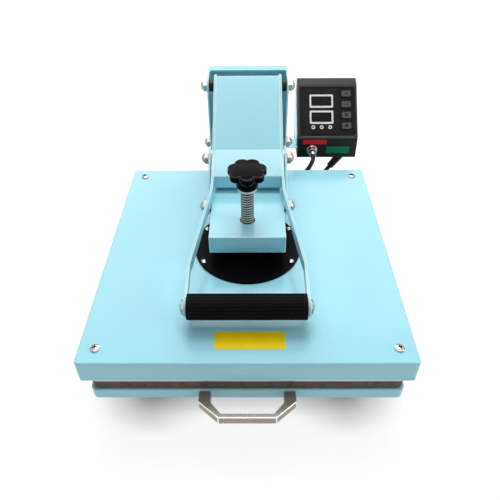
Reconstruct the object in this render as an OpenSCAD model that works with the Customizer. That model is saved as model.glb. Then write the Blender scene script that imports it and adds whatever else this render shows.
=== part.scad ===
// Slide-out clamshell heat press for flat transfers.
// Millimetres. X to the right, Y to the back, Z up from the table.
// Shapes are drawn about the pressure screw's axis, then moved so that the middle of the
// footprint is the origin.

/* [Upper platen] */
// Width and depth of the square cover
cover_w = 400; // [390:1:440]
// Height of the cover from its rim to its top
cover_h = 34; // [26:1:44]
// Sheet thickness of the cover
cover_t = 2; // [1:0.5:3]
// Corner radius of the cover seen from above
cover_r = 4.5; // [4:0.5:14]
// Radius of the cover's top edge
cover_edge = 2; // [1:0.5:4]
// Distance of a cover screw from the cover's edges
cover_screw_in = 21; // [18:0.5:35]
// Head diameter of a cover screw
cover_screw_head = 11.5; // [9:0.5:16]
// Distance of the heating plate's edge inside the cover's
plate_in = 10; // [7:0.5:14]
// Thickness of the heating plate
plate_t = 18; // [12:1:24]
// Height of the insulation between plate and cover
insul_t = 30; // [20:1:40]
// Distance of the insulation's edge inside the cover's
insul_in = 35; // [20:1:60]
// Room round a standoff in the insulation
insul_gap = 1; // [0.5:0.5:3]
// Diameter of a standoff under a cover screw
standoff_d = 12; // [9:0.5:16]
// Diameter of the round mounting disc
disc_d = 152; // [150:1:180]
// Thickness of the mounting disc
disc_t = 3; // [2:0.5:6]
// Distance of a disc screw from the centre
disc_screw_r = 70; // [60:1:70]
// Angle of the disc screws from the X axis
disc_screw_angle = 30; // [20:1:50]
// Head diameter of a disc screw
disc_screw_head = 8; // [7:0.5:10]
// Diameter of the swivel hub on the disc
hub_d = 64; // [50:1:80]
// Height of the hub's lower step
hub_step = 7; // [5:0.5:9]
// Height of the hub's neck above the step
hub_neck = 6; // [3:0.5:7]
// Diameter of the hub's neck
hub_neck_d = 44; // [36:1:48]

/* [Lower platen] */
// Distance of the sliding tray's sides inside the cover's
tray_side_in = 5; // [2:0.5:12]
// Distance of the sliding tray's front and back inside the cover's
tray_end_in = 8; // [5:0.5:15]
// Height of the tray's shell
tray_h = 18; // [14:1:24]
// Sheet thickness of the tray
tray_t = 2; // [1:0.5:3]
// Corner radius of the tray seen from above
tray_r = 8; // [4:0.5:16]
// Thickness of the plate that closes the tray from below
tray_base_t = 3; // [2:0.5:5]
// Thickness of the silicone pad
pad_t = 14.7; // [10:0.1:18]
// Distance from the pad's edge to the tray's edge
pad_inset = 2; // [2:0.5:10]
// Gap between pad and plate when closed
press_gap = 0.3; // [0.2:0.1:1]

/* [Pull handle] */
// Outer width of the pull handle
pull_w = 120; // [100:1:150]
// How far the pull handle stands out of the tray
pull_reach = 36; // [30:1:50]
// Width of a leg
pull_leg = 15; // [10:0.5:18]
// Thickness of the front bar
pull_bar = 6; // [4:0.5:10]
// Width of the front bar's outer face
pull_front_w = 70; // [50:1:90]
// Height of the pull handle
pull_h = 13; // [10:0.5:13]

/* [Base] */
// Height of a rubber foot
foot_h = 14; // [8:1:24]
// Diameter of a foot
foot_d = 36; // [24:1:40]
// Height of the base tubes
tube_h = 40; // [38:1:50]
// Width of the base tubes
tube_w = 40; // [36:1:50]
// Wall of the base tubes
tube_t = 2; // [1.5:0.5:4]
// Distance between the base tubes' centre lines
tube_gap = 260; // [200:1:264]
// Front end of the base tubes, ahead of the screw axis
base_front = 138; // [120:1:150]
// Room between the base tubes and the tray
tray_clear = 20; // [16:1:30]
// Length of the slide rails
rail_len = 320; // [300:1:330]
// Height of the fixed slide rail
rail_h = 36; // [32:1:36]
// Depth of the fixed slide rail from the tube
rail_d = 11.5; // [11:0.5:14]
// Sheet thickness of the slide rails
rail_t = 1.5; // [1:0.1:2]
// Running gap between nested slide rails
rail_gap = 0.4; // [0.3:0.05:0.6]

/* [Mast] */
// Outer width of the mast
mast_w = 132; // [130:1:150]
// Sheet thickness of the mast
mast_t = 3; // [2:0.5:4]
// Front edge of the mast behind the screw axis
mast_front = 216; // [212:1:218]
// Back face of the mast behind the screw axis
mast_back = 272; // [262:1:284]
// Top of the mast above the cover
mast_up = 161; // [156:1:180]
// Depth of the folded top lip
mast_lip = 17; // [10:1:20]
// Thickness of the mast's foot plate
foot_plate_t = 5; // [4:0.5:8]
// How far the foot plate stands out at each side
foot_plate_side = 26; // [24:1:34]

/* [Linkage] */
// Distance of the two mast pivots behind the screw axis
pivot_y = 229; // [228:0.5:232]
// Height of the arm's pivot above the cover
arm_pivot_up = 40; // [38:0.5:42]
// Height of the handle's pivot above the cover
top_pivot_up = 145; // [143:0.5:147]
// Distance of the link's lower pin behind the screw axis
low_pin_y = 44; // [42:0.5:46]
// Distance of the knee pin behind the screw axis
knee_y = 115.5; // [114:0.5:117]
// Height of the knee pin above the cover
knee_up = 78.5; // [77:0.5:80]
// Diameter of the linkage bolts
bolt_d = 12; // [10:0.5:12]
// Radial running gap of a pivot
run_gap = 0.05; // [0.02:0.01:0.1]
// Side gap between moving plates
side_gap = 0.3; // [0.2:0.1:0.5]
// Width across the flats of a cap nut
nut_af = 18; // [16:0.5:20]
// Height of a cap nut's hexagon
nut_h = 5.5; // [5:0.5:8]
// Height of a cap nut's dome
nut_dome = 5.5; // [4:0.5:7]
// Height of a grip nut's hexagon
grip_nut_h = 2.5; // [2:0.5:4]
// Height of a grip nut's dome
grip_nut_dome = 2.5; // [2:0.5:4]
// Diameter of the black spacer tubes
spacer_d = 18; // [16:0.5:20]
// Thickness of a link plate
link_t = 3; // [2.5:0.5:4]
// Width of a link plate
link_w = 24; // [20:1:26]
// Thickness of the washers at the knee
washer_t = 1.2; // [1:0.1:1.4]
// Width of a link plate round the knee pin
link_head_w = 36; // [32:1:40]
// Distance between the two ends of the slot that frees the knee pin
knee_slot = 3.4; // [3.2:0.1:4]
// Width of the knee slot
knee_slot_w = 15.5; // [15.2:0.1:16]
// How far short of the knee pin the slot's far end is centred
knee_slot_back = 0.9; // [0.7:0.1:1]
// How far above the link's middle line the slot lies
knee_slot_side = 0.7; // [0.6:0.1:0.8]
// Diameter of the washers that cover the slot
knee_washer_d = 30; // [28:1:32]

/* [Arm] */
// Outer width of the arm's channel
arm_w = 97; // [92:0.5:97]
// Sheet thickness of the arm
arm_t = 3; // [2:0.5:4]
// Outer width of the box at the arm's front
box_w = 104; // [103.5:0.5:105]
// Height of the box
box_h = 28; // [26:0.5:29]
// Box front ahead of the screw axis
box_front = 38; // [30:1:50]
// Box back behind the screw axis
box_back = 62; // [60:1:66]
// Clear height between cover and arm
arm_lift = 22; // [21:0.5:24]
// Hole in the box for the pressure screw
box_hole_d = 21; // [20:0.5:26]

/* [Pressure screw] */
// Diameter of the pressure screw
screw_d = 18; // [14:0.5:20]
// Diameter of the nut welded under the arm
screw_nut_d = 40; // [32:1:48]
// Height of that nut
screw_nut_h = 18; // [12:1:19]
// Diameter of the screw's foot flange
screw_foot_d = 28; // [24:0.5:32]
// Height of the knob's collar above the cover
collar_up = 102; // [98:1:110]
// Height of the knob's tapered hub
knob_hub_h = 18; // [8:1:20]
// Height of the knob's star at its middle
knob_star_h = 12; // [10:1:18]
// How much the star's domed top falls towards its rim
knob_dome = 2.5; // [1.5:0.5:4]
// Diameter across the knob's lobes
knob_d = 52; // [48:1:60]
// Number of lobes
knob_lobes = 7; // [5:1:9]
// Diameter of one lobe
knob_lobe_d = 18; // [14:0.5:20]

/* [Handle] */
// Outer width of the handle beside the hood
handle_w = 108; // [108:0.5:109]
// Outer width of the handle at the grip
handle_front_w = 152; // [140:1:164]
// Thickness of the handle's side plates
side_t = 4; // [3:0.5:4]
// Where the side plates start to spread, behind the screw axis
spread_back = 45; // [40:1:50]
// Where the spread ends, ahead of the screw axis
spread_front = 86; // [70:1:100]
// Height of the side plates along the bars
bar_h = 17; // [15:0.5:17]
// Grip centre ahead of the screw axis
grip_ahead = 142; // [130:1:150]
// Grip centre above the cover
grip_up = 31; // [28:0.5:36]
// Diameter of the grip
grip_d = 31.5; // [28:0.5:36]
// Number of ribs round the grip
grip_ribs = 24; // [12:1:32]
// Diameter of the grip's rod
grip_rod_d = 10; // [8:0.5:12]
// Sheet thickness of the hood
hood_t = 3; // [2:0.5:3.5]
// Distance of the hood's front lip behind the screw axis
hood_front = 70; // [68:1:72]
// Top of the hood's lip above the cover
hood_front_up = 75; // [74:0.5:77]
// Height of the hood's front lip
hood_lip = 21; // [14:1:22]
// Crease of the hood behind the screw axis
hood_crease = 112; // [108:1:116]
// Crease of the hood above the cover
hood_crease_up = 95; // [94:0.5:98]
// Back edge of the hood behind the screw axis
hood_back = 222; // [214:1:224]
// Back edge of the hood above the cover
hood_back_up = 165; // [163:0.5:167]

/* [Control box] */
// Width of the control box
ctrl_w = 108; // [104:1:110]
// Centre of the control box to the right of the screw axis
ctrl_x = 143; // [142:0.5:144]
// Front of the control box behind the screw axis
ctrl_front = 250; // [248:1:256]
// Back of the control box behind the screw axis
ctrl_back = 336; // [334:1:350]
// Underside of the control box below the cover's top
ctrl_drop = 6; // [4:1:8]
// Height of the upright front facet
ctrl_facet = 41; // [40:1:46]
// Slope of the panel from level
ctrl_tilt = 46; // [44:0.5:48]
// Length of the panel up its slope
ctrl_panel_len = 98; // [96:1:100]
// How deep the panel's bed lies in the case
ctrl_sink = 2.5; // [2:0.1:3]
// Length of the strip above the panel
ctrl_head = 11; // [8:0.5:14]
// Slope of that strip from level
ctrl_head_tilt = 25; // [15:1:40]
// Thickness of the panel
ctrl_panel_t = 3; // [2:0.5:4]
// Rim of the case round the panel
ctrl_rim = 4; // [3:0.5:6]
// Width of a button
button_w = 17; // [12:0.5:18]
// Height of a button
button_h = 11; // [8:0.5:12]
// How far a button stands out
button_proud = 2.5; // [2:0.1:4]
// Travel of a button
button_travel = 1.2; // [0.8:0.1:1.5]
// Gap round a button
button_gap = 0.4; // [0.3:0.05:0.6]
// Step from one button to the next
button_step = 19.8; // [18:0.1:20]
// Sheet thickness of the bracket
bracket_t = 2; // [1.5:0.5:3]

/* [Cords] */
// Diameter of the heater cable
cable_d = 7.5; // [6:0.5:7.5]
// Diameter of the mains lead
lead_d = 7.5; // [7:0.1:7.5]
// Outer radius of the stored coil, at the middle of the lead
coil_r = 52; // [50:1:52]
// Sideways step from turn to turn
coil_pitch = 8.2; // [8.2:0.1:8.6]
// Diameter of the plug
plug_d = 38; // [34:1:38]
// Length of the plug's body
plug_len = 40; // [34:1:44]

/* [Hidden] */
$fn = 48;
eps = 0.01;

// Heights of the stack, from the table up
tube_top = foot_h + tube_h;
tray_z = tube_top + tray_clear;
tray_top = tray_z + tray_h;
pad_top = tray_top + pad_t;
plate_z = pad_top + press_gap;
plate_top = plate_z + plate_t;
cover_in = plate_top + insul_t;
top_z = cover_in + cover_t;
disc_top = top_z + disc_t;
plate_w = cover_w - 2 * plate_in;
tray_w = cover_w - 2 * tray_side_in;
tray_d = cover_w - 2 * tray_end_in;

// Pivots as [Y, Z]
arm_pivot = [pivot_y, top_z + arm_pivot_up];
top_pivot = [pivot_y, top_z + top_pivot_up];
low_pin_at = [low_pin_y, top_z + arm_pivot_up];
knee_at = [knee_y, top_z + knee_up];
grip_at = [-grip_ahead, top_z + grip_up];
bore_d = bolt_d + 2 * run_gap;

// The middle of the footprint is the origin
place_y = (tray_d / 2 + pull_reach - ctrl_back) / 2;

// Planes from the middle outwards
mast_in = mast_w / 2 - mast_t;
handle_out = handle_w / 2;
handle_in = handle_out - side_t;
link_in = handle_out + washer_t + side_gap;
link_out = link_in + link_t;
arm_z = top_z + arm_lift;
box_top = arm_z + box_h;
arm_top = box_top - arm_t;

// Slide rails, from the fixed tube outwards
tube_out = (tube_gap + tube_w) / 2;
rail_z = foot_h + (tube_h - rail_h) / 2;
rail_y = -base_front;
mid_step = rail_t + rail_gap;

// Colours
paint = "#a9e0ea";
black = "#1b1b1d";
steel = "#c9ccd0";
nickel = "#8a8478";

function unit(v) = v / norm(v);
function along(p, i) = unit(p[min(i + 1, len(p) - 1)] - p[max(i - 1, 0)]);
function length_of(p) = len(p) < 2 ? 0 : [for (i = 0, s = 0; i < len(p);
    s = s + (i + 1 < len(p) ? norm(p[i + 1] - p[i]) : 0), i = i + 1) s][len(p) - 1];

// A shape and its mirror image across the middle
module both() {
    children();
    mirror([1, 0, 0]) children();
}

// A side outline, drawn as [Y, Z], from x0 to x1
module side(x0, x1) {
    translate([x0, 0, 0]) rotate([90, 0, 90]) linear_extrude(x1 - x0) children();
}

// A round bar along X through p = [Y, Z]
module bar_x(d, x0, x1, p) {
    translate([x0, p[0], p[1]]) rotate([0, 90, 0]) cylinder(d = d, h = x1 - x0);
}

// A flat rectangle with round corners
module round_rect(w, d, r) {
    square([w - 2 * r, d], center = true);
    square([w, d - 2 * r], center = true);
    for (x = [-1, 1], y = [-1, 1]) translate([x * (w / 2 - r), y * (d / 2 - r)]) circle(r);
}

// A box with round corners and a soft top edge, standing on its origin
module soft_box(w, d, h, r, edge) {
    hull() for (x = [-1, 1], y = [-1, 1]) translate([x * (w / 2 - r), y * (d / 2 - r), 0])
        rotate_extrude($fn = 32) soft_post(h, r, edge);
}
module soft_post(h, r, edge) {
    square([r, h - edge]);
    square([r - edge, h]);
    translate([r - edge, h - edge]) intersection() {
        circle(edge, $fn = 24);
        square(edge);
    }
}

// A cap nut on the +X side: seat is its flat face
module cap_nut(seat, p, af, d, h, dome) {
    r = (dome * dome + af * af * 0.2116) / (2 * dome);
    translate([seat, p[0], p[1]]) rotate([0, 90, 0]) difference() {
        union() {
            cylinder(d = af / cos(30), h = h, $fn = 6);
            translate([0, 0, h]) rotate_extrude() intersection() {
                translate([0, dome - r]) circle(r);
                square([af * 0.46, dome]);
            }
        }
        translate([0, 0, -eps]) cylinder(d = d + 2 * run_gap, h = h);
    }
}

// A pan-head screw, head upwards, its seat at the origin
module pan_screw(head, shank, len) {
    rotate_extrude() {
        square([shank / 2, head * 0.1]);
        intersection() {
            translate([0, head * 0.3 - head * 0.9]) circle(head * 0.9);
            square([head / 2, head]);
        }
    }
    translate([0, 0, -len]) cylinder(d = shank, h = len + eps);
}

// A tube of flat facets along a list of points; ref is never in line with it
module tube(p, d, sides, ref) {
    n = len(p);
    points = [for (i = [0:n - 1]) let (t = along(p, i), u = unit(cross(ref, t)), v = cross(t, u))
        for (k = [0:sides - 1]) p[i] + d / 2 * (cos(360 * k / sides) * u + sin(360 * k / sides) * v)];
    walls = [for (i = [0:n - 2], k = [0:sides - 1])
        let (a = i * sides + k, b = i * sides + (k + 1) % sides)
        each [[a, a + sides, b + sides], [a, b + sides, b]]];
    last = (n - 1) * sides;
    caps = [for (k = [1:sides - 2]) each [[0, k, k + 1], [last, last + k + 1, last + k]]];
    polyhedron(points, concat(walls, caps));
}

// Base

module base_tube() {
    difference() {
        translate([tube_out - tube_w, -base_front, foot_h])
            cube([tube_w, base_front + mast_back + foot_plate_t * 2, tube_h]);
        translate([tube_out - tube_w + tube_t, -base_front + tube_t, foot_h + tube_t])
            cube([tube_w - 2 * tube_t, base_front + mast_back + foot_plate_t * 2 - 2 * tube_t,
                tube_h - 2 * tube_t]);
    }
}
module base_rail_left() {
    color(paint) mirror([1, 0, 0]) base_tube();
}
module base_rail_right() {
    color(paint) base_tube();
}

cross_w = 2 * (tube_out - tube_w);
cross_front_d = 30;
cross_front_h = 30;
module base_cross_front() {
    color(paint) translate([-cross_w / 2, -base_front + cross_front_d, foot_h]) difference() {
        cube([cross_w, cross_front_d, cross_front_h]);
        translate([-eps, tube_t, tube_t])
            cube([cross_w + 2 * eps, cross_front_d - 2 * tube_t, cross_front_h - 2 * tube_t]);
    }
}
foot_plate_y = mast_front - 2;
foot_plate_d = mast_back + foot_plate_t * 2 - foot_plate_y;
module base_cross_rear() {
    color(paint) translate([-cross_w / 2, foot_plate_y, foot_h]) difference() {
        cube([cross_w, foot_plate_d, tube_h]);
        translate([-eps, tube_t, tube_t])
            cube([cross_w + 2 * eps, foot_plate_d - 2 * tube_t, tube_h - 2 * tube_t]);
        mast_bolt_places() translate([0, 0, tube_h - 2 * tube_t])
            cylinder(d = mast_bolt_d + 2 * run_gap, h = 3 * tube_t);
    }
}

foot_inset = 24;
module feet() {
    color(black) both() for (y = [-base_front + foot_inset, mast_back - foot_inset / 2])
        translate([tube_out - tube_w / 2, y, 0]) rotate_extrude()
            polygon([[0, 0], [foot_d / 2 - 2, 0], [foot_d / 2, 3], [foot_d / 2 - 3, foot_h], [0, foot_h]]);
}

// Mast

mast_bolt_d = 10;
// Children are drawn from the foot plate's front left corner of the rear cross tube
module mast_bolt_places() {
    for (x = [-1, 1], y = [0.25, 0.75])
        translate([cross_w / 2 + x * (mast_w + foot_plate_side) / 2, foot_plate_d * y, 0]) children();
}
module mast_side_outline() {
    polygon([
        [mast_front, tube_top], [mast_back, tube_top], [mast_back, top_z + mast_up],
        [mast_back - mast_lip, top_z + mast_up], [pivot_y, top_pivot[1] + nose_r],
        [mast_front, top_pivot[1]]
    ]);
    translate(top_pivot) circle(nose_r);
}
nose_r = pivot_y - mast_front;
grommet_at = [237, 110];
grommet_d = 12;
module mast() {
    color(paint) difference() {
        union() {
            both() side(mast_in, mast_w / 2) mast_side_outline();
            translate([-mast_w / 2, mast_back - mast_t, tube_top])
                cube([mast_w, mast_t, top_z + mast_up - tube_top]);
            translate([-mast_w / 2, mast_back - mast_lip, top_z + mast_up - mast_t])
                cube([mast_w, mast_lip, mast_t]);
            translate([-mast_w / 2 - foot_plate_side, foot_plate_y, tube_top])
                cube([mast_w + 2 * foot_plate_side, foot_plate_d, foot_plate_t]);
        }
        for (p = [arm_pivot, top_pivot]) bar_x(bore_d, -mast_w, mast_w, p);
        bar_x(grommet_d, 0, mast_w, grommet_at);
        translate([-cross_w / 2, foot_plate_y, tube_top - eps]) mast_bolt_places()
            cylinder(d = mast_bolt_d + 2 * run_gap, h = foot_plate_t + 2 * eps);
        bracket_screw_places() rotate([0, -90, 0])
            translate([0, 0, -eps]) cylinder(d = bracket_screw_d, h = mast_t + 2 * eps);
    }
}
module mast_bolts() {
    color(steel) translate([-cross_w / 2, foot_plate_y, tube_top + foot_plate_t]) mast_bolt_places() {
        cylinder(d = mast_bolt_d * 1.7 / cos(30), h = mast_bolt_d * 0.64, $fn = 6);
        translate([0, 0, -foot_plate_t - 2 * tube_t])
            cylinder(d = mast_bolt_d, h = foot_plate_t + 2 * tube_t);
    }
}
module mast_pins() {
    color(steel) for (p = [arm_pivot, top_pivot])
        bar_x(bolt_d, -mast_w / 2 - nut_h + 1, mast_w / 2 + nut_h - 1, p);
}
module mast_nuts() {
    color(steel) both() for (p = [arm_pivot, top_pivot])
        cap_nut(mast_w / 2, p, nut_af, bolt_d, nut_h, nut_dome);
}
// Tubes that keep the arm and the handle in the middle of the mast
module mast_spacers() {
    color(black) both() {
        spacer(arm_w / 2 + side_gap, mast_in, arm_pivot);
        spacer(handle_out + side_gap, mast_in, top_pivot);
    }
}
module spacer(x0, x1, p) {
    difference() {
        bar_x(spacer_d, x0, x1, p);
        bar_x(bore_d, x0 - 1, x1 + 1, p);
    }
}

// Slide

// One C-shaped rail: x is the web's inner face, out its open side
module rail(x, out, z, h, y, len, web_out) {
    difference() {
        translate([x, y, z]) cube([out - x, len, h]);
        translate([web_out ? x - 1 : x + rail_t, y - 1, z + rail_t])
            cube([out - x - rail_t + 1, len + 2, h - 2 * rail_t]);
    }
}
rail_out = tube_out + rail_d;
module rails_outer() {
    color(steel) both() rail(tube_out, rail_out, rail_z, rail_h, rail_y, rail_len, false);
}
module rails_middle() {
    color(steel) both() rail(tube_out + mid_step, rail_out - rail_gap, rail_z + mid_step,
        rail_h - 2 * mid_step, rail_y, rail_len, false);
}
inner_out = rail_out + rail_gap;
module rails_inner() {
    color(steel) both() rail(tube_out + 2 * mid_step, inner_out, rail_z + 2 * mid_step,
        rail_h - 4 * mid_step, rail_y, rail_len, true);
}
bracket_foot = 18;
module tray_brackets() {
    color(steel) both() translate([0, rail_y + 8, 0]) rotate([90, 0, 0]) mirror([0, 0, 1])
        linear_extrude(rail_len - 16) polygon([
            [inner_out, rail_z + 2 * mid_step], [inner_out + tray_base_t, rail_z + 2 * mid_step],
            [inner_out + tray_base_t, tray_z], [inner_out - bracket_foot, tray_z],
            [inner_out - bracket_foot, tray_z - tray_base_t], [inner_out, tray_z - tray_base_t]
        ]);
}

// Lower platen

module tray_shell() {
    color(paint) translate([0, 0, tray_z]) difference() {
        soft_box(tray_w, tray_d, tray_h, tray_r, tray_t);
        translate([0, 0, -eps]) linear_extrude(tray_h - tray_t + eps)
            round_rect(tray_w - 2 * tray_t, tray_d - 2 * tray_t, tray_r - tray_t);
        pull_screw_places() translate([0, 0, -1])
            cylinder(d = pull_screw_d + 2 * run_gap, h = tray_t + 2);
    }
}
module tray_base() {
    color(steel) translate([0, 0, tray_z]) linear_extrude(tray_base_t)
        round_rect(tray_w - 2 * tray_t - 2 * side_gap, tray_d - 2 * tray_t - 2 * side_gap, tray_r - tray_t);
}
module pad() {
    color("#3b332e") translate([0, 0, tray_top]) linear_extrude(pad_t)
        round_rect(tray_w - 2 * pad_inset, tray_d - 2 * pad_inset, tray_r + 2);
}

pull_screw_d = 5;
pull_z = (tray_h - pull_h) / 2;
// From the tray's inner front wall forwards, measured from the tray's underside
module pull_screw_places() {
    for (x = [-1, 1]) translate([x * (pull_w - pull_leg) / 2, -tray_d / 2 + tray_t, pull_z + pull_h / 2])
        rotate([90, 0, 0]) children();
}
module pull_outline(w, front, reach, leg) {
    polygon([
        [-w / 2, 0], [-w / 2, -leg], [-front / 2, -reach], [front / 2, -reach], [w / 2, -leg], [w / 2, 0]
    ]);
}
module pull_handle() {
    color(nickel) translate([0, 0, tray_z]) difference() {
        translate([0, -tray_d / 2, pull_z]) linear_extrude(pull_h) difference() {
            pull_outline(pull_w, pull_front_w, pull_reach, pull_leg);
            translate([0, eps]) pull_outline(pull_w - 2 * pull_leg, pull_front_w - pull_bar,
                pull_reach - pull_bar, pull_leg);
        }
        pull_screw_places() cylinder(d = pull_screw_d + 2 * run_gap, h = tray_t + pull_leg - 3);
    }
}
module pull_screws() {
    color(steel) translate([0, 0, tray_z]) pull_screw_places() rotate([180, 0, 0])
        pan_screw(pull_screw_d * 2, pull_screw_d, tray_t + pull_leg - 4);
}

// Arm

module arm_outline() {
    polygon([[-box_front + arm_t, arm_z], [pivot_y, arm_z], [pivot_y, arm_top],
        [-box_front + arm_t, arm_top]]);
    translate(arm_pivot) circle(arm_end_r);
}
arm_end_r = 13;
module arm_channel() {
    color(paint) difference() {
        side(-arm_w / 2, arm_w / 2) arm_outline();
        translate([-arm_w / 2 + arm_t, -box_front, arm_z - arm_end_r])
            cube([arm_w - 2 * arm_t, box_front + pivot_y + 2 * arm_end_r,
                arm_top - arm_t - arm_z + arm_end_r]);
        translate([-arm_w / 2 + arm_t, pivot_y - arm_end_r, arm_z])
            cube([arm_w - 2 * arm_t, 3 * arm_end_r, box_h]);
        for (p = [arm_pivot, low_pin_at]) bar_x(bore_d, -arm_w, arm_w, p);
        translate([0, 0, arm_z]) cylinder(d = box_hole_d, h = box_h);
    }
}
module arm_box() {
    color(paint) difference() {
        translate([-box_w / 2, -box_front, arm_z]) cube([box_w, box_front + box_back, box_h]);
        translate([-box_w / 2 + arm_t, -box_front + arm_t, arm_z - 1])
            cube([box_w - 2 * arm_t, box_front + box_back, box_h - arm_t + 1]);
        bar_x(bore_d, -box_w, box_w, low_pin_at);
        translate([0, 0, arm_z]) cylinder(d = box_hole_d, h = box_h + 1);
    }
}
module pressure_nut() {
    color(steel) translate([0, 0, arm_top - arm_t - screw_nut_h]) difference() {
        cylinder(d = screw_nut_d, h = screw_nut_h);
        translate([0, 0, -1]) cylinder(d = screw_d + 4 * run_gap, h = screw_nut_h + 2);
    }
}
module low_pin() {
    color(steel) bar_x(bolt_d, -link_out - side_gap - nut_h + 1, link_out + side_gap + nut_h - 1, low_pin_at);
}
module low_pin_nuts() {
    color(steel) both() {
        cap_nut(link_out + side_gap, low_pin_at, nut_af, bolt_d, nut_h, nut_dome);
        spacer(box_w / 2, link_in - side_gap, low_pin_at);
    }
}

// Links

module links() {
    turn = atan2(knee_at[1] - low_pin_at[1], knee_at[0] - low_pin_at[0]);
    reach = norm(knee_at - low_pin_at);
    slot_end = reach - knee_slot_back;
    slot_start = slot_end - knee_slot;
    color(paint) both() difference() {
        side(link_in, link_out) translate(low_pin_at) rotate(turn) difference() {
            union() {
                circle(d = link_w);
                polygon([[0, -link_w / 2], [reach, -link_head_w / 2], [reach, link_head_w / 2],
                    [0, link_w / 2]]);
                translate([reach, 0]) circle(d = link_head_w);
            }
            translate([slot_start, knee_slot_side]) circle(d = knee_slot_w);
            translate([slot_end, knee_slot_side]) circle(d = knee_slot_w);
            translate([slot_start, knee_slot_side - knee_slot_w / 2]) square([knee_slot, knee_slot_w]);
        }
        bar_x(bore_d, 0, link_out + 1, low_pin_at);
    }
}
knee_seat = link_out + side_gap + washer_t;
module knee_pin() {
    color(steel) bar_x(bolt_d, -knee_seat - nut_h + 1, knee_seat + nut_h - 1, knee_at);
}
// Cap nuts, and the washers on both faces of each link
module knee_nuts() {
    color(steel) both() {
        cap_nut(knee_seat, knee_at, nut_af, bolt_d, nut_h, nut_dome);
        washer(link_out + side_gap, knee_seat);
        washer(handle_out, link_in - side_gap);
    }
}
module washer(x0, x1) {
    difference() {
        bar_x(knee_washer_d, x0, x1, knee_at);
        bar_x(bore_d, x0 - 1, x1 + 1, knee_at);
    }
}

// Handle

// The side plates seen from above, as a bent strip
module plate_path() {
    polygon([
        [handle_in, pivot_y + handle_end_r], [handle_in, spread_back], [front_in, -spread_front],
        [front_in, -grip_ahead - grip_end_r], [front_in + side_t, -grip_ahead - grip_end_r],
        [front_in + side_t, -spread_front], [handle_out, spread_back], [handle_out, pivot_y + handle_end_r]
    ]);
}
front_in = handle_front_w / 2 - side_t;
handle_end_r = 18;
grip_end_r = 12;
bar_front_up = grip_up + bar_h / 2;
module handle_outline() {
    polygon([
        [hood_back, top_z + hood_back_up], [hood_crease, top_z + hood_crease_up],
        [hood_front, top_z + hood_front_up], [-grip_ahead, top_z + bar_front_up],
        [-grip_ahead, top_z + bar_front_up - bar_h], [hood_front, top_z + hood_front_up - bar_h],
        knee_at + [-4, -bar_h], knee_at + [12, -bar_h * 0.8],
        top_pivot + handle_end_r * [0.5, -0.866], top_pivot + handle_end_r * [0.6, 0.8]
    ]);
    translate(top_pivot) circle(handle_end_r);
    translate(grip_at) circle(grip_end_r);
}
module handle_sides() {
    color(paint) both() difference() {
        intersection() {
            linear_extrude(2 * top_z + top_pivot_up) plate_path();
            side(0, handle_front_w) handle_outline();
        }
        bar_x(bore_d, 0, handle_w, top_pivot);
        bar_x(grip_rod_d + 2 * run_gap, 0, handle_front_w, grip_at);
        bar_x(bore_d, 0, handle_w, knee_at);
    }
}
module handle_hood() {
    color(paint) side(-handle_in, handle_in) polygon([
        [hood_back, top_z + hood_back_up], [hood_crease, top_z + hood_crease_up],
        [hood_front, top_z + hood_front_up], [hood_front, top_z + hood_front_up - hood_lip],
        [hood_front + hood_t, top_z + hood_front_up - hood_lip],
        [hood_front + hood_t, top_z + hood_front_up - hood_t * 0.7],
        [hood_crease + hood_t * 0.6, top_z + hood_crease_up - hood_t],
        [hood_back + hood_t * 0.5, top_z + hood_back_up - hood_t]
    ]);
}
module grip() {
    color(black) difference() {
        bar_x(grip_d, -front_in + side_gap, front_in - side_gap, grip_at);
        bar_x(grip_rod_d + 2 * run_gap, -front_in, front_in, grip_at);
        for (i = [0:grip_ribs - 1]) bar_x(2, -front_in + 5, front_in - 5,
            grip_at + grip_d / 2 * [cos(360 * i / grip_ribs), sin(360 * i / grip_ribs)]);
    }
}
module grip_rod() {
    half = handle_front_w / 2 + grip_nut_h - 1;
    color(steel) bar_x(grip_rod_d, -half, half, grip_at);
}
module grip_nuts() {
    color(steel) both()
        cap_nut(handle_front_w / 2, grip_at, nut_af - 2, grip_rod_d, grip_nut_h, grip_nut_dome);
}

// Upper platen

cover_screw_d = 5;
module cover_corners() {
    for (x = [-1, 1], y = [-1, 1]) translate([x, y, 0] * (cover_w / 2 - cover_screw_in)) children();
}
module cover() {
    color(paint) difference() {
        translate([0, 0, top_z - cover_h]) soft_box(cover_w, cover_w, cover_h, cover_r, cover_edge);
        translate([0, 0, top_z - cover_h - eps]) linear_extrude(cover_h - cover_t + eps)
            round_rect(cover_w - 2 * cover_t, cover_w - 2 * cover_t, cover_r - cover_t);
        translate([0, 0, top_z - cover_t - 1]) {
            cover_corners() cylinder(d = cover_screw_d + 1, h = cover_t + 2);
            disc_corners() cylinder(d = cover_screw_d + 1, h = cover_t + 2);
        }
    }
}
module cover_screws() {
    color(steel) translate([0, 0, top_z]) cover_corners()
        pan_screw(cover_screw_head, cover_screw_d, insul_t / 2);
}
module standoffs() {
    color(steel) translate([0, 0, plate_top]) cover_corners() difference() {
        cylinder(d = standoff_d, h = insul_t);
        translate([0, 0, insul_t / 3]) cylinder(d = cover_screw_d + 2 * run_gap, h = insul_t);
    }
}
module insulation() {
    color("#d8d2c4") translate([0, 0, plate_top]) linear_extrude(insul_t) difference() {
        square(cover_w - 2 * insul_in, center = true);
        cover_corners() circle(d = standoff_d + 2 * insul_gap);
    }
}
module heat_plate() {
    color("#b4b7ba") translate([0, 0, plate_z]) linear_extrude(plate_t) round_rect(plate_w, plate_w, cover_r);
}
module disc_corners() {
    for (x = [-1, 1], y = [-1, 1])
        translate(disc_screw_r * [x * cos(disc_screw_angle), y * sin(disc_screw_angle), 0]) children();
}
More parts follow.
